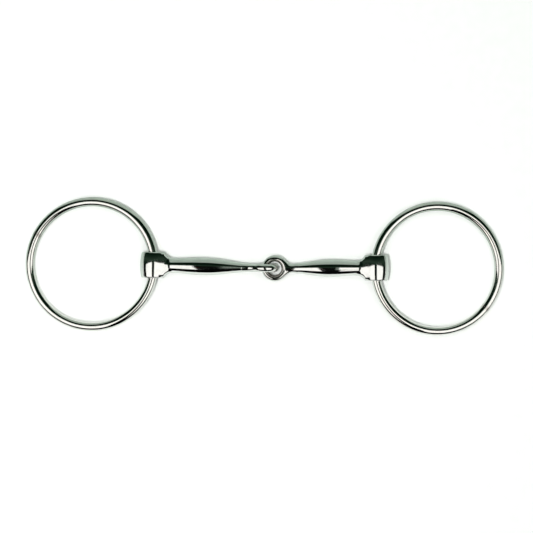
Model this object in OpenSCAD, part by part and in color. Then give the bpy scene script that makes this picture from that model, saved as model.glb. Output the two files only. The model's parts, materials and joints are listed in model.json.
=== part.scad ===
// Single-jointed loose-ring snaffle bit, lying flat.
// X runs along the mouthpiece, Z is up, Y is the axis of both ring holes.
// The origin is on the resting surface, midway between the two ring holes.

/* [Mouthpiece] */
// Distance between the axes of the two ring holes
hole_span = 125.5; // [115:0.5:150]
// Ring hole axis to eye centre, longer half
left_length = 63.0; // [57:0.5:75]
// Diameter of the bar beside the butt end
bar_d = 7.8; // [7.2:0.1:8.4]
// Extra diameter at the thickest part of the bar
belly = 1.9; // [0.6:0.1:2.2]
// Diameter of the bar where it runs into the eye
neck_d = 4.2; // [3.8:0.1:4.3]
// How far the centre joint lies off the straight line between the ring holes
bend = 1.0; // [0:0.1:2]

/* [Butt ends] */
// Greatest diameter of the barrel-shaped butt end
butt_d = 14.5; // [14:0.1:15.5]
// Length of the butt end along the ring hole
butt_h = 14.5; // [13:0.1:16]
// How much the barrel narrows at each end, on the radius
butt_taper = 0.6; // [0.3:0.1:1]
// Diameter of the ring hole
bore_d = 6.4; // [6.2:0.1:6.8]
// Depth of the countersink at each end of the ring hole
sink = 0.6; // [0.3:0.1:1]

/* [Centre eyes] */
// Diameter of the hole through each eye
eye_hole_d = 7.6; // [7.2:0.1:8]
// Thickness of each eye along its own axis
eye_t = 4.3; // [3.8:0.1:4.5]
// Edge rounding of the eyes
eye_round = 1.5; // [0.8:0.1:1.6]

/* [Rings] */
// Outside diameter of the loose rings
ring_od = 75.5; // [60:0.5:90]
// Diameter of the ring wire
wire_d = 5.0; // [4.6:0.1:5.1]

/* [Hidden] */
$fn = 64;
steel = [0.78, 0.79, 0.78];
butt_r = butt_d / 2;
eye_r = butt_r;
eye_hole_r = eye_hole_d / 2;
eye_mid = (eye_r + eye_hole_r) / 2;
bar_r = bar_d / 2;
neck_r = neck_d / 2;
// The fold axis stands in the nose of the left eye, at (fold_x, -bend)
half_span = hole_span / 2;
left_reach = left_length + eye_mid;
fold_x = sqrt(left_reach * left_reach - bend * bend) - half_span;
right_length = sqrt(pow(half_span - fold_x, 2) + bend * bend);
left_yaw = -asin(bend / left_reach);
right_yaw = asin(bend / right_length);
// The right eye rests just above the lower wire of the left eye
eye_gap = 0.25;
right_eye_z = (eye_r - eye_hole_r) + eye_t / 2 + eye_gap + 0.2;
right_tilt = asin((butt_r - right_eye_z) / right_length);
// The ring curves through a straight hole, so its middle sits off the hole axis
ring_r = (ring_od - wire_d) / 2;
ring_sag = ring_r - sqrt(ring_r * ring_r - butt_h * butt_h / 4);
ring_off = ring_sag / 2;
// The far side of each ring rests on the surface
ring_drop = asin((butt_r - wire_d / 2) / (2 * ring_r - ring_off));
// Fillet between the butt end and the bar
flare_r = 6.5;
flare_x = butt_r - butt_taper - 0.25;
flare_y = butt_h / 2 - 0.3;
flare_end = flare_x + sqrt(flare_r * flare_r - pow(bar_r + flare_r - flare_y, 2));
// Slope from the top of the barrel down to the top of the bar
slope_a = 30;
slope_foot = butt_r * sin(slope_a) + (butt_r * cos(slope_a) - bar_r) / tan(slope_a);
foot_r = 3.5;
foot_run = foot_r * tan(slope_a / 2);
// Fillet between the bar and the outside of the eye
web_r = 6.0;
web_x = sqrt(pow(eye_r + web_r, 2) - pow(neck_r + web_r, 2));
web_join = eye_r / (eye_r + web_r);
bar_steps = 24;

function ease(t) = let (c = min(1, max(0, t))) c * c * (3 - 2 * c);

// An even climb from 0 to 1 that levels off gently
function climb(t) = let (c = min(1, max(0, t))) (c < 0.7 ? c : 0.85 - pow(1 - c, 2) / 0.6) / 0.85;

// Radius of the bar at x from the ring hole axis
function bar_radius(x, len) =
    let (swell = belly / 2 * climb((x - butt_r - 1.2) / (0.42 * len - butt_r - 1.2)))
    let (fall = ease((x - 0.46 * len) / (0.54 * len - 5)))
    (bar_r + swell) * (1 - fall) + neck_r * fall;

// Butt end: a barrel around the ring hole, along Y
module barrel() {
    bulge = (butt_h * butt_h / 4) / (2 * butt_taper) + butt_taper / 2;
    rotate([90, 0, 0])
        rotate_extrude()
            intersection() {
                translate([butt_r - bulge, 0])
                    circle(r = bulge, $fn = 180);
                polygon([
                    [0, -butt_h / 2],
                    [butt_r - butt_taper - 0.3, -butt_h / 2],
                    [butt_r, -butt_h / 2 + 0.7],
                    [butt_r, butt_h / 2 - 0.7],
                    [butt_r - butt_taper - 0.3, butt_h / 2],
                    [0, butt_h / 2]
                ]);
            }
}

// Concave flare from the barrel down to the bar, full width at the barrel
module flare() {
    intersection() {
        rotate([0, 90, 0])
            rotate_extrude()
                difference() {
                    translate([0, 1])
                        square([flare_y, flare_end - 1]);
                    translate([bar_r + flare_r, flare_end])
                        circle(r = flare_r, $fn = 72);
                }
        rotate([90, 0, 0])
            linear_extrude(height = butt_h - 0.2, center = true)
                flare_side(flare_end + 1);
    }
}

// Side view of the flare: it leaves the barrel's circle at slope_a and rounds off into the bar
module flare_side(end) {
    difference() {
        polygon([
            [0, -butt_r * cos(slope_a)],
            [butt_r * sin(slope_a), -butt_r * cos(slope_a)],
            [slope_foot - foot_run * cos(slope_a), -bar_r - foot_run * sin(slope_a)],
            [slope_foot + foot_run, -bar_r],
            [end, -bar_r],
            [end, bar_r],
            [slope_foot + foot_run, bar_r],
            [slope_foot - foot_run * cos(slope_a), bar_r + foot_run * sin(slope_a)],
            [butt_r * sin(slope_a), butt_r * cos(slope_a)],
            [0, butt_r * cos(slope_a)]
        ]);
        for (s = [-1, 1])
            translate([slope_foot + foot_run, s * (bar_r + foot_r)])
                circle(r = foot_r, $fn = 72);
    }
}

// Tapered round bar along X
module bar(len) {
    x0 = 2;
    x1 = len - eye_mid + 0.4;
    rotate([0, 90, 0])
        rotate_extrude()
            polygon(concat(
                [[0, x0]],
                [for (i = [0:bar_steps])
                    let (x = x0 + (x1 - x0) * i / bar_steps)
                    [bar_radius(x, len), x]],
                [[0, x1]]
            ));
}

// Rounded section of the eye, swept round the eye axis
module eye_ring() {
    rotate_extrude()
        union() {
            translate([eye_hole_r, -eye_t / 2 + eye_round])
                square([eye_r - eye_hole_r, eye_t - 2 * eye_round]);
            translate([eye_hole_r + eye_round, -eye_t / 2])
                square([eye_r - eye_hole_r - 2 * eye_round, eye_t]);
            for (x = [eye_hole_r + eye_round, eye_r - eye_round])
                for (y = [-eye_t / 2 + eye_round, eye_t / 2 - eye_round])
                    translate([x, y])
                        circle(r = eye_round, $fn = 24);
        }
}

// Web that fairs the bar into the eye, flat in the plane of the eye
module eye_web(len) {
    web_y = web_join * (neck_r + web_r);
    web_end = len - web_join * web_x;
    translate([0, 0, -neck_r + 0.3])
        linear_extrude(height = neck_d - 0.6)
            difference() {
                translate([len - web_x, -web_y])
                    square([web_end - (len - web_x), 2 * web_y]);
                for (s = [-1, 1])
                    translate([len - web_x, s * (neck_r + web_r)])
                        circle(r = web_r, $fn = 64);
            }
}

// One half of the mouthpiece: butt end, bar and eye are one forging.
// turn is 0 for an eye that lies flat and 90 for one that stands up.
module cannon(len, turn) {
    difference() {
        union() {
            barrel();
            flare();
            bar(len);
            rotate([turn, 0, 0])
                union() {
                    translate([len, 0, 0])
                        eye_ring();
                    eye_web(len);
                }
        }
        rotate([90, 0, 0])
            cylinder(d = bore_d, h = butt_h + 2, center = true);
        for (s = [0, 180])
            rotate([90 + s, 0, 0])
                translate([0, 0, butt_h / 2 - sink])
                    cylinder(r1 = bore_d / 2, r2 = bore_d / 2 + 1.4 * sink, h = 2 * sink);
        translate([len, 0, 0])
            rotate([turn, 0, 0])
                cylinder(r = eye_hole_r - 0.001, h = 2 * butt_d, center = true);
    }
}

// Loose ring around the ring hole at the origin, running off towards -X
module loose_ring() {
    translate([ring_off - ring_r, 0, 0])
        rotate_extrude()
            translate([ring_r, 0])
                circle(d = wire_d, $fn = 24);
}

module left_cannon() {
    color(steel)
        translate([-half_span, 0, butt_r])
            rotate([0, 0, left_yaw])
                cannon(left_length, 90);
}

module right_cannon() {
    color(steel)
        translate([half_span, 0, butt_r])
            rotate([0, 0, 180 + right_yaw])
                rotate([0, right_tilt, 0])
                    cannon(right_length, 0);
}

module left_ring() {
    color(steel)
        translate([-half_span, 0, butt_r])
            rotate([0, -ring_drop, 0])
                loose_ring();
}

module right_ring() {
    color(steel)
        translate([half_span, 0, butt_r])
            rotate([0, 0, 180])
                rotate([0, -ring_drop, 0])
                    loose_ring();
}

left_cannon();
right_cannon();
left_ring();
right_ring();
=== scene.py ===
# Single-jointed loose-ring snaffle bit in polished stainless steel, seen from straight above.
import json
import math

import bpy
import numpy as np
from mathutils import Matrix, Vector


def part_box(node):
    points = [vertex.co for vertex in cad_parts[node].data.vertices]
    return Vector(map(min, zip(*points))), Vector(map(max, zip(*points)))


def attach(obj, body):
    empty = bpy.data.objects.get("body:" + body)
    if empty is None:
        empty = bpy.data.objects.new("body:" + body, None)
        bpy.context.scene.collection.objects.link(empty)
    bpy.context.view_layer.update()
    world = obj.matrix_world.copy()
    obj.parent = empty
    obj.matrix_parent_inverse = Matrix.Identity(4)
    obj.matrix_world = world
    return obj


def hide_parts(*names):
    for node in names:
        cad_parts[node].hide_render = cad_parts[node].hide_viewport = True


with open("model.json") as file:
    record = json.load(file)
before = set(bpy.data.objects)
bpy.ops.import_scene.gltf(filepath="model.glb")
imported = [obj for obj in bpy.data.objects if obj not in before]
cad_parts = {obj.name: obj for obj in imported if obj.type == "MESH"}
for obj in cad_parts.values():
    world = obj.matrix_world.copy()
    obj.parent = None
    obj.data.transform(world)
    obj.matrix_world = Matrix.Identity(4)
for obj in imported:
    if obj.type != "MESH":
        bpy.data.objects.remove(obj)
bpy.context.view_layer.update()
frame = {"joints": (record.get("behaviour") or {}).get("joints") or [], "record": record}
MM = 0.001
joints = {j["name"]: Vector(j["pos_m"]) for j in frame["joints"]}
mounts = {m["name"]: m for m in frame["record"]["mounts"]}

# ---- camera: straight above and rolled a little ----
CAMERA_HEIGHT = 0.90
VIEW_WIDTH = 0.3006
VIEW_LEVEL = 0.006           # height above the floor at which VIEW_WIDTH holds
SENSOR_WIDTH = 36.0
ROLL = math.radians(0.75)
LOOK_AT = Vector((0.00113, 0.0, 0.0))
scene = bpy.context.scene
cam_data = bpy.data.cameras.new("camera")
cam_data.sensor_width = SENSOR_WIDTH
cam_data.lens = SENSOR_WIDTH * (CAMERA_HEIGHT - VIEW_LEVEL) / VIEW_WIDTH
cam_data.clip_start = 0.01
cam_data.clip_end = 50.0
camera = bpy.data.objects.new("camera", cam_data)
camera.location = LOOK_AT + Vector((0, 0, CAMERA_HEIGHT))
camera.rotation_euler = (0, 0, ROLL)
scene.collection.objects.link(camera)
scene.camera = camera
scene.view_settings.view_transform = "Standard"

# ---- sizes of the two halves, in millimetres ----
BUTT_R = 7.25
BUTT_HALF = 7.25
BUTT_TAPER = 0.8
BORE_R = 3.2
BAR_R = 3.85
BELLY = 1.0
BELLY_START = 9.6
BELLY_TOP = 0.42             # where the bar is thickest, as a share of the length of the half
TAPER_START = 0.46           # the taper to the eye starts here and runs on for TAPER_RUN, as shares
TAPER_RUN = 0.54
TAPER_STOP = 5.0             # and ends this far before the middle of the eye
NECK_R = 2.1
STANDING_NECK_R = 3.0        # half height of the bar that runs into the standing eye
EYE_R = 7.25
EYE_HOLE_R = 3.8
EYE_HALF_T = 2.15
WEB_ROUND = 2.0
EYE_MID = (EYE_R + EYE_HOLE_R) / 2
FLARE_R = 6.5
FLARE_INSET = 0.25
FLARE_DROP = 0.1
SLOPE = math.radians(31.5)
WEB_REACH = 13
FLARE_BLEND = 2.0
BAR_BLEND = 1.0
BUTT_EDGE = 0.8
BORE_EDGE = 0.9
WEB_TO_EYE_BLEND = 4.0
WEB_TO_BAR_BLEND = 0.5
EYE_BLEND = 0.4
GRID = 0.26


def smooth_step(t):
    t = np.clip(t, 0.0, 1.0)
    return t * t * (3 - 2 * t)


def smin(a, b, k):
    h = np.clip(0.5 + 0.5 * (b - a) / k, 0.0, 1.0)
    return b * (1 - h) + a * h - k * h * (1 - h)


def smax(a, b, k):
    return -smin(-a, -b, k)


def climb(t):
    """An even climb from 0 to 1 that levels off gently."""
    t = np.clip(t, 0.0, 1.0)
    return np.where(t < 0.7, t, 0.85 - (1 - t) ** 2 / 0.6) / 0.85


def bar_radius(x, length, neck=NECK_R):
    swell = BELLY * climb((x - BELLY_START) / (BELLY_TOP * length - BELLY_START))
    fall = smooth_step((x - TAPER_START * length) / (TAPER_RUN * length - TAPER_STOP))
    return (BAR_R + swell) * (1 - fall) + neck * fall


def rounded(outline, side, half, radius):
    """A flat outline given a thickness and rounded edges."""
    a = outline + radius
    b = np.abs(side) - half + radius
    corner = np.sqrt(np.maximum(a, 0) ** 2 + np.maximum(b, 0) ** 2)
    return corner + np.minimum(np.maximum(a, b), 0) - radius


def cannon_field(p, length, standing):
    """Signed distance in mm to one half of the mouthpiece. Its ring hole lies along Y, its bar along +X."""
    x, y, z = p[..., 0], p[..., 1], p[..., 2]
    from_hole = np.sqrt(x * x + z * z)
    butt_r = BUTT_R - BUTT_TAPER * (y / BUTT_HALF) ** 2
    barrel = from_hole - butt_r
    # flare between butt and bar: a ramp tangent to the barrel in side view, a concave curve in plan
    flare_x = BUTT_R - BUTT_TAPER - FLARE_INSET
    flare_y = BUTT_HALF - FLARE_DROP
    flare_end = flare_x + math.sqrt(FLARE_R ** 2 - (BAR_R + FLARE_R - flare_y) ** 2)
    run = np.clip(flare_end - x, 0.0, flare_end - flare_x)
    wide = BAR_R + FLARE_R - np.sqrt(FLARE_R ** 2 - np.clip(run, 0, FLARE_R - 0.01) ** 2)
    flare = np.abs(z) * math.cos(SLOPE) + x * math.sin(SLOPE) - butt_r
    flare = smax(flare, np.abs(y) - wide, FLARE_BLEND)
    flare = np.maximum(np.maximum(flare, x - flare_end), butt_r * math.sin(SLOPE) - x)
    bar_end = length - EYE_MID
    along = np.clip(x, 0, bar_end)
    wide_r = bar_radius(along, length)
    tall_r = bar_radius(along, length, STANDING_NECK_R) if standing else wide_r
    bar = (np.sqrt((y / wide_r) ** 2 + (z / tall_r) ** 2 + 1e-9) - 1) * wide_r
    bar = np.maximum(np.maximum(bar, x - bar_end), -x)
    f = smin(np.minimum(barrel, flare), bar, BAR_BLEND)
    f = smax(f, np.abs(y) - BUTT_HALF, BUTT_EDGE)
    f = smax(f, BORE_R - from_hole, BORE_EDGE)
    # eye, and the web that fairs the bar into it
    q, s = (z, y) if standing else (y, z)
    d = np.sqrt((x - length) ** 2 + q * q)
    u, half_u = d - EYE_MID, (EYE_R - EYE_HOLE_R) / 2
    near = np.sqrt((u / half_u) ** 2 + (s / EYE_HALF_T) ** 2 + 1e-9)
    ring = near * (near - 1) / np.sqrt((u / half_u ** 2) ** 2 + (s / EYE_HALF_T ** 2) ** 2 + 1e-9)
    strip = np.maximum(np.abs(q) - tall_r, x - length)
    outline = smin(strip, d - EYE_R, WEB_TO_EYE_BLEND)
    half_t = np.minimum(EYE_HALF_T, wide_r)
    web = rounded(outline, s, half_t, WEB_ROUND)
    web = np.maximum(web, (length - WEB_REACH) - x)
    outer = smin(smin(f, web, WEB_TO_BAR_BLEND), ring, EYE_BLEND)
    w = smooth_step((d - EYE_MID + 0.5) / 1.0)
    inner = np.where(d < EYE_MID - 0.5, ring, ring * (1 - w) + outer * w)
    return np.where(d < EYE_R + 3, inner, smin(f, web, WEB_TO_BAR_BLEND))


def surface_net(field, low, high, step):
    """Vertices and quads of the zero surface of field, one vertex in each cell that it crosses."""
    axes = [np.arange(a, b + step, step) for a, b in zip(low, high)]
    grid = np.stack(np.meshgrid(*axes, indexing="ij"), -1)
    v = field(grid)
    n = np.array(v.shape) - 1
    corner = [(i, j, k) for i in (0, 1) for j in (0, 1) for k in (0, 1)]
    total = np.zeros(tuple(n) + (3,))
    count = np.zeros(tuple(n))

    def part(o):
        return tuple(slice(o[a], o[a] + n[a]) for a in range(3))

    for c in corner:
        for a in range(3):
            if c[a] == 0:
                e = list(c)
                e[a] = 1
                v0, v1 = v[part(c)], v[part(e)]
                cross = (v0 < 0) != (v1 < 0)
                t = np.where(cross, v0 / np.where(cross, v0 - v1, 1), 0)
                for b in range(3):
                    total[..., b] += np.where(cross, c[b] + (t if a == b else 0), 0)
                count += cross
    active = count > 0
    index = -np.ones(active.shape, int)
    index[active] = np.arange(active.sum())
    cell = np.argwhere(active)
    points = np.array(low) + (cell + total[active] / count[active][:, None]) * step
    quads = []
    for a in range(3):
        b, c = (a + 1) % 3, (a + 2) % 3
        lo = [slice(0, m) for m in n]
        lo[b] = slice(1, n[b])
        lo[c] = slice(1, n[c])
        hi = list(lo)
        hi[a] = slice(1, n[a] + 1)
        inside0, inside1 = v[tuple(lo)] < 0, v[tuple(hi)] < 0
        for flip, found in ((False, inside0 & ~inside1), (True, ~inside0 & inside1)):
            where = np.argwhere(found)
            where[:, b] += 1
            where[:, c] += 1
            ring = []
            for db, dc in ((-1, -1), (0, -1), (0, 0), (-1, 0)):
                at = where.copy()
                at[:, b] += db
                at[:, c] += dc
                ring.append(index[at[:, 0], at[:, 1], at[:, 2]])
            if flip:
                ring.reverse()
            quads.append(np.stack(ring, 1))
    return points, np.concatenate(quads)


def gradient(field, p, eps=0.02):
    g = np.empty_like(p)
    for a in range(3):
        d = np.zeros(3)
        d[a] = eps
        g[:, a] = (field(p + d) - field(p - d)) / (2 * eps)
    return g


def settle(field, p, rounds=4):
    """Moves points onto the zero surface."""
    for _ in range(rounds):
        g = gradient(field, p)
        p = p - g * (field(p) / np.maximum((g * g).sum(1), 0.2))[:, None]
    return p


def relax(p, quads, field, rounds=3):
    """Evens out the spacing of the points, keeping them on the surface."""
    for _ in range(rounds):
        total = np.zeros_like(p)
        count = np.zeros(len(p))
        for k in range(4):
            a, b = quads[:, k], quads[:, (k + 1) % 4]
            np.add.at(total, a, p[b])
            np.add.at(count, a, 1)
            np.add.at(total, b, p[a])
            np.add.at(count, b, 1)
        p = settle(field, p + 0.5 * (total / count[:, None] - p), 2)
    return p


def new_mesh(name, points, quads, normals, extras):
    mesh = bpy.data.meshes.new(name)
    mesh.from_pydata(points.tolist(), [], quads.tolist())
    mesh.polygons.foreach_set("use_smooth", [True] * len(quads))
    for key, values in extras.items():
        kind = "FLOAT_VECTOR" if values.ndim == 2 else "FLOAT"
        attribute = mesh.attributes.new(key, kind, "POINT")
        part = "vector" if values.ndim == 2 else "value"
        attribute.data.foreach_set(part, values.astype(np.float32).ravel())
    mesh.update()
    mesh.validate()
    mesh.normals_split_custom_set_from_vertices(normals.tolist())
    obj = bpy.data.objects.new(name, mesh)
    scene.collection.objects.link(obj)
    return obj


def cannon(name, hole, end, length, standing):
    """One half, from the ring hole at hole towards end, both in metres."""
    def field(p):
        return cannon_field(p, length, standing)
    low = (-BUTT_R - 1, -BUTT_HALF - 1, -EYE_R - 1)
    high = (length + EYE_R + 1, BUTT_HALF + 1, EYE_R + 1)
    points, quads = surface_net(field, low, high, GRID)
    points = relax(settle(field, points), quads, field)
    normals = gradient(field, points)
    normals /= np.linalg.norm(normals, axis=1)[:, None]
    x = points[:, 0]
    to_hole = np.hypot(points[:, 0], points[:, 2])
    to_eye = np.linalg.norm(points - np.array([length, 0, 0]), axis=1)
    grime = np.exp(-np.maximum(to_hole - BORE_R, 0) / 0.9) * (np.abs(points[:, 1]) > BUTT_HALF - 1.2)
    grime = np.maximum(grime, to_hole < BORE_R + 0.3)
    grime = np.maximum(grime, 0.8 * np.exp(-np.maximum(to_eye - EYE_HOLE_R - 0.6, 0) / 1.2))
    grain = np.stack([points[:, 1], points[:, 2], 0.06 * x], 1)
    ahead = (end - hole).normalized()
    side = Vector((0, 0, 1)).cross(ahead).normalized()
    up = ahead.cross(side)
    turn = np.array([ahead, side, up])
    world = points @ turn * MM + np.array(hole)
    return new_mesh(name, world, quads, normals @ turn, {"grain": grain, "grime": grime})


WELD_DEPTH = 0.012           # share of the wire radius
WELD_WIDTH = 0.0022


def loose_ring(name, node, wire_r, weld_at):
    """A loop of round wire where the CAD ring lies. weld_at is the angle of its closed joint."""
    low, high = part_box(node)
    centre = (low + high) / 2
    ring_r = (high.y - low.y) / 2 - wire_r
    tilt = math.asin(((high.z - low.z) / 2 - wire_r) / ring_r)
    outward = -1 if centre.x < 0 else 1
    around, across = 360, 48
    a = np.linspace(0, 2 * math.pi, around, endpoint=False)[:, None]
    b = np.linspace(0, 2 * math.pi, across, endpoint=False)[None, :]
    off_weld = (a - weld_at + math.pi) % (2 * math.pi) - math.pi
    arc = off_weld * ring_r
    waist = WELD_DEPTH * np.exp(-(arc / WELD_WIDTH) ** 2)
    r = wire_r * (1 - waist * (1 + 0.5 * np.cos(2 * b + 1.0))) + 0 * b
    x = (ring_r + r * np.cos(b)) * np.cos(a)
    y = (ring_r + r * np.cos(b)) * np.sin(a)
    z = r * np.sin(b) + 0 * a
    nx, ny, nz = np.cos(b) * np.cos(a), np.cos(b) * np.sin(a), np.sin(b) + 0 * a
    i, j = np.meshgrid(np.arange(around), np.arange(across), indexing="ij")
    i2, j2 = (i + 1) % around, (j + 1) % across
    quads = np.stack([i * across + j, i2 * across + j, i2 * across + j2, i * across + j2], -1)
    quads = quads.reshape(-1, 4)
    angle = outward * tilt
    spin = np.array([[math.cos(angle), 0, -math.sin(angle)],
                     [0, 1, 0],
                     [math.sin(angle), 0, math.cos(angle)]])
    points = np.stack([x, y, z], -1).reshape(-1, 3)
    normals = np.stack([nx, ny, nz], -1).reshape(-1, 3)
    points = points @ spin + np.array(centre)
    normals = normals @ spin
    grain = np.stack([wire_r * 1000 * np.cos(b) + 0 * a, wire_r * 1000 * np.sin(b) + 0 * a,
                      60 * (a * ring_r) + 0 * b], -1).reshape(-1, 3)
    grime = (0.7 * np.exp(-(arc / 0.0012) ** 2) + 0 * b).reshape(-1)
    return new_mesh(name, points, quads, normals, {"grain": grain, "grime": grime})


# ---- materials ----
def steel(name, tone, stain, rough):
    material = bpy.data.materials.new(name)
    material.use_nodes = True
    tree = material.node_tree
    tree.nodes.clear()

    def node(kind, **inputs):
        made = tree.nodes.new(kind)
        for key, value in inputs.items():
            made.inputs[key.replace("_", " ")].default_value = value
        return made

    def link(a, b):
        tree.links.new(a, b)

    out = node("ShaderNodeOutputMaterial")
    shader = node("ShaderNodeBsdfPrincipled", Metallic=1.0)
    link(shader.outputs["BSDF"], out.inputs["Surface"])
    grain = tree.nodes.new("ShaderNodeAttribute")
    grain.attribute_name = "grain"
    grime = tree.nodes.new("ShaderNodeAttribute")
    grime.attribute_name = "grime"
    place = tree.nodes.new("ShaderNodeTexCoord")

    def noise(vector, scale, detail, roughness=0.5):
        made = node("ShaderNodeTexNoise", Scale=scale, Detail=detail, Roughness=roughness)
        link(vector, made.inputs["Vector"])
        return made.outputs["Fac"]

    def remap(value, lo, hi, to_lo, to_hi):
        made = tree.nodes.new("ShaderNodeMapRange")
        link(value, made.inputs["Value"])
        for key, v in (("From Min", lo), ("From Max", hi), ("To Min", to_lo), ("To Max", to_hi)):
            made.inputs[key].default_value = v
        return made.outputs["Result"]

    def maths(op, a, b):
        made = tree.nodes.new("ShaderNodeMath")
        made.operation = op
        made.use_clamp = True
        for k, v in enumerate((a, b)):
            if isinstance(v, (int, float)):
                made.inputs[k].default_value = v
            else:
                link(v, made.inputs[k])
        return made.outputs["Value"]

    lines = noise(grain.outputs["Vector"], 14.0, 4.0, 0.7)        # fine polishing lines along the metal
    cloud = noise(place.outputs["Object"], 260.0, 3.0)           # cloudy handling marks, a few mm across
    wave = noise(place.outputs["Object"], 120.0, 1.0)            # hand-polished waviness
    specks = noise(place.outputs["Object"], 2600.0, 2.0)
    patchy = remap(noise(place.outputs["Object"], 900.0, 4.0), 0.3, 0.65, 0.2, 1.0)
    dirt = maths("MULTIPLY", grime.outputs["Fac"], patchy)
    marks = maths("ADD", remap(lines, 0.62, 0.75, 0.0, 0.5), remap(specks, 0.70, 0.78, 0.0, 0.6))

    tint = tree.nodes.new("ShaderNodeMix")
    tint.data_type = "RGBA"
    link(remap(cloud, 0.35, 0.7, 0.0, 1.0), tint.inputs["Factor"])
    tint.inputs["A"].default_value = (*tone, 1)
    tint.inputs["B"].default_value = (tone[0] * 0.93, tone[1] * 0.935, tone[2] * 0.93, 1)
    soil = tree.nodes.new("ShaderNodeMix")
    soil.data_type = "RGBA"
    link(dirt, soil.inputs["Factor"])
    link(tint.outputs["Result"], soil.inputs["A"])
    soil.inputs["B"].default_value = (*stain, 1)
    link(soil.outputs["Result"], shader.inputs["Base Color"])

    base_rough = remap(cloud, 0.3, 0.75, rough, rough + 0.045)
    worn = maths("ADD", base_rough, maths("MULTIPLY", marks, 0.10))
    link(maths("ADD", worn, maths("MULTIPLY", dirt, 0.28)), shader.inputs["Roughness"])

    relief = tree.nodes.new("ShaderNodeBump")
    relief.inputs["Strength"].default_value = 0.35
    relief.inputs["Distance"].default_value = 0.00001
    height = maths("ADD", maths("MULTIPLY", lines, 0.35), maths("MULTIPLY", dirt, 0.6))
    link(height, relief.inputs["Height"])
    sway = tree.nodes.new("ShaderNodeBump")
    sway.inputs["Strength"].default_value = 1.0
    sway.inputs["Distance"].default_value = 0.00004
    link(wave, sway.inputs["Height"])
    link(relief.outputs["Normal"], sway.inputs["Normal"])
    link(sway.outputs["Normal"], shader.inputs["Normal"])
    return material


finishes = {
    "mouthpiece_steel": steel("polished_mouthpiece", (0.76, 0.765, 0.75), (0.20, 0.13, 0.10), 0.06),
    "ring_steel": steel("polished_ring", (0.78, 0.775, 0.75), (0.24, 0.18, 0.15), 0.07),
}

# ---- pieces ----
left_hole = joints["left_ring_swing"]
right_hole = joints["right_ring_swing"]
fold = joints["centre_fold"]
level = Vector((fold.x, fold.y, left_hole.z))
left_length = (level - left_hole).length / MM - EYE_MID
right_length = math.hypot(fold.x - right_hole.x, fold.y - right_hole.y) / MM
wire_r = mounts["left_ring_rein_and_cheek"]["dims"]["r_mm"] * MM

pieces = [
    (cannon("left_mouthpiece_half", left_hole, level, left_length, True), "left_half", "left_cannon",
     "mouthpiece_steel"),
    (cannon("right_mouthpiece_half", right_hole, fold, right_length, False), "right_half", "right_cannon",
     "mouthpiece_steel"),
    (loose_ring("left_loose_ring", "left_ring", wire_r, math.radians(152)), "left_ring", "left_ring",
     "ring_steel"),
    (loose_ring("right_loose_ring", "right_ring", wire_r, math.radians(-38)), "right_ring", "right_ring",
     "ring_steel"),
]
for piece, body, cad_node, slot in pieces:
    piece.data.materials.append(finishes[slot])
    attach(piece, body)
    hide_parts(cad_node)


# ---- floor and backdrop ----
def plain(name, colour, painted_shade_behind=None):
    """Matt paper with a faint mottle. The optional second colour is painted in towards the back as painted
    shade.
    """
    material = bpy.data.materials.new(name)
    material.use_nodes = True
    tree = material.node_tree
    shader = tree.nodes["Principled BSDF"]
    noise = tree.nodes.new("ShaderNodeTexNoise")
    noise.inputs["Scale"].default_value = 900.0
    ramp = tree.nodes.new("ShaderNodeMapRange")
    ramp.inputs["To Min"].default_value = 0.90
    ramp.inputs["To Max"].default_value = 0.96
    tree.links.new(noise.outputs["Fac"], ramp.inputs["Value"])
    mix = tree.nodes.new("ShaderNodeMix")
    mix.data_type = "RGBA"
    mix.inputs["A"].default_value = (0, 0, 0, 1)
    mix.inputs["B"].default_value = (*colour, 1)
    tree.links.new(ramp.outputs["Result"], mix.inputs["Factor"])
    # Painted shade: towards the back (+Y) the colour goes over to the darker second colour
    if painted_shade_behind:
        place = tree.nodes.new("ShaderNodeTexCoord")
        split = tree.nodes.new("ShaderNodeSeparateXYZ")
        depth = tree.nodes.new("ShaderNodeMapRange")
        depth.interpolation_type = "SMOOTHSTEP"
        depth.inputs["From Min"].default_value = -0.03
        depth.inputs["From Max"].default_value = 0.025
        painted_shade_fade = tree.nodes.new("ShaderNodeMix")
        painted_shade_fade.data_type = "RGBA"
        painted_shade_fade.inputs["A"].default_value = (*colour, 1)
        painted_shade_fade.inputs["B"].default_value = (*painted_shade_behind, 1)
        tree.links.new(place.outputs["Object"], split.inputs["Vector"])
        tree.links.new(split.outputs["Y"], depth.inputs["Value"])
        tree.links.new(depth.outputs["Result"], painted_shade_fade.inputs["Factor"])
        tree.links.new(painted_shade_fade.outputs["Result"], mix.inputs["B"])
    tree.links.new(mix.outputs["Result"], shader.inputs["Base Color"])
    shader.inputs["Roughness"].default_value = 0.9
    shader.inputs["Specular IOR Level"].default_value = 0.2
    return material


def disc(name, rings, material):
    """A surface of revolution round Z: rings are (radius, height)."""
    count = 96
    points, quads = [], []
    for r, z in rings:
        for k in range(count):
            t = 2 * math.pi * k / count
            points.append((r * math.cos(t), r * math.sin(t), z))
    for m in range(len(rings) - 1):
        for k in range(count):
            a, b = m * count + k, m * count + (k + 1) % count
            quads.append((a, b, b + count, a + count))
    mesh = bpy.data.meshes.new(name)
    mesh.from_pydata(points, [], quads)
    mesh.polygons.foreach_set("use_smooth", [True] * len(quads))
    mesh.materials.append(material)
    obj = bpy.data.objects.new(name, mesh)
    scene.collection.objects.link(obj)
    return obj


FLOOR_R = 3.0
SWEEP_R = 1.2
BACKDROP_TOP = 4.0
MIRRORED_HEIGHT = 0.0001


def level_rings(height):
    return [(r, height) for r in (0.0001, 0.4, 1.2, FLOOR_R)]


paper = plain("paper", (1.0, 1.0, 0.995))
floor = disc("floor", level_rings(0.0), paper)
floor.visible_glossy = False
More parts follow.
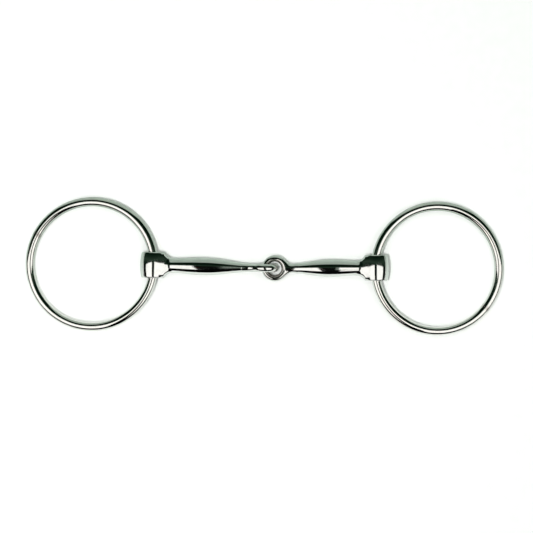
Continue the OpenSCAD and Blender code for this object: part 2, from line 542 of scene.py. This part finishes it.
# Painted shade: a copy of the floor that only the metal sees, painted darker towards the back to stand in
# for a room lit from the front
reflected_paper_painted_shade = plain("paper_in_metal_painted_shade", (0.98, 1.0, 0.98), (0.46, 0.54, 0.48))
mirrored = disc("floor_in_metal", level_rings(MIRRORED_HEIGHT), reflected_paper_painted_shade)
mirrored.visible_camera = False
mirrored.visible_diffuse = False
mirrored.visible_shadow = False
curve = [(FLOOR_R + SWEEP_R * math.sin(t), SWEEP_R * (1 - math.cos(t)))
         for t in np.linspace(0, math.pi / 2, 16)]
sweep = disc("backdrop", curve + [(FLOOR_R + SWEEP_R, BACKDROP_TOP)], paper)
sweep.visible_glossy = False
sweep.visible_diffuse = False
sweep.visible_shadow = False


# ---- light ----
def lamp(name, centre, target, size, power, colour, turn=0.0, seen=True):
    """An area lamp. A seen lamp only shows in the metal, and an unseen one only lights the scene."""
    data = bpy.data.lights.new(name, "AREA")
    data.shape = "RECTANGLE"
    data.size, data.size_y = size
    data.energy = power
    data.color = colour
    made = bpy.data.objects.new(name, data)
    made.location = centre
    made.rotation_euler = (Vector(target) - Vector(centre)).to_track_quat("-Z", "Y").to_euler()
    made.rotation_euler.z += math.radians(turn)
    made.visible_camera = False
    made.visible_glossy = seen
    made.visible_diffuse = not seen
    scene.collection.objects.link(made)
    return made


PANEL_HEIGHT = 0.80


def panel(name, corner, size, slant, glow, colour, side=1):
    """A flat panel overhead that shows in the metal. corner is its inner corner nearest the back, slant is
    how far its inner edge leans towards the middle line, and glow is its brightness."""
    a = math.radians(slant)
    along = Vector((-side * math.sin(a), -math.cos(a), 0))
    across = Vector((side * math.cos(a), -math.sin(a), 0))
    centre = Vector((*corner, PANEL_HEIGHT)) + along * size[1] / 2 + across * size[0] / 2
    power = glow * math.pi * size[0] * size[1]
    return lamp(name, centre, centre - Vector((0, 0, 1)), size, power, colour, -side * slant)


WARM = (1.0, 0.985, 0.95)
GREEN = (0.84, 1.0, 0.86)
panel("panel_left", (-0.165, 0.08), (1.4, 0.90), 2, 1.35, WARM, -1)
panel("panel_right", (0.20, 0.08), (1.4, 0.90), 0, 1.35, WARM, 1)
panel("panel_right_inner", (0.145, 0.08), (0.055, 0.42), 0, 1.35, WARM, 1)
panel("panel_dim", (0.085, 0.12), (0.06, 0.5), 0, 0.20, GREEN, 1)
panel("panel_brown", (-0.22, -0.20), (0.13, 0.12), 0, 0.04, (1.0, 0.35, 0.25))
lamp("key", (-0.12, -0.07, 0.90), (0, 0, 0), (0.08, 0.08), 4.8, (1.0, 0.985, 0.99), seen=False)
lamp("fill", (0.0, 0.0, 1.20), (0, 0, 0), (2.0, 2.0), 16.0, (0.93, 1.0, 0.94), seen=False)

world = bpy.data.worlds.new("studio")
scene.world = world
world.use_nodes = True
nodes = world.node_tree.nodes
links = world.node_tree.links
back = nodes["Background"]
coord = nodes.new("ShaderNodeTexCoord")
split = nodes.new("ShaderNodeSeparateXYZ")
links.new(coord.outputs["Generated"], split.inputs["Vector"])
ramp = nodes.new("ShaderNodeValToRGB")
scale = nodes.new("ShaderNodeMapRange")
scale.inputs["From Min"].default_value = -1.0
scale.inputs["From Max"].default_value = 1.0
links.new(split.outputs["Y"], scale.inputs["Value"])
links.new(scale.outputs["Result"], ramp.inputs["Fac"])
stops = [(0.0, (0.001, 0.001, 0.001)), (0.51, (0.001, 0.002, 0.001)), (0.55, (0.010, 0.022, 0.013)),
         (0.59, (0.026, 0.046, 0.030)), (0.63, (0.010, 0.022, 0.013)), (0.68, (0.002, 0.009, 0.004)),
         (0.88, (0.001, 0.005, 0.002)), (0.90, (0.38, 0.45, 0.39)), (1.0, (0.43, 0.51, 0.44))]
ramp.color_ramp.elements[0].position = stops[0][0]
ramp.color_ramp.elements[0].color = (*stops[0][1], 1)
ramp.color_ramp.elements[1].position = stops[-1][0]
ramp.color_ramp.elements[1].color = (*stops[-1][1], 1)
for position, colour in stops[1:-1]:
    ramp.color_ramp.elements.new(position).color = (*colour, 1)
links.new(ramp.outputs["Color"], back.inputs["Color"])
back.inputs["Strength"].default_value = 1.0
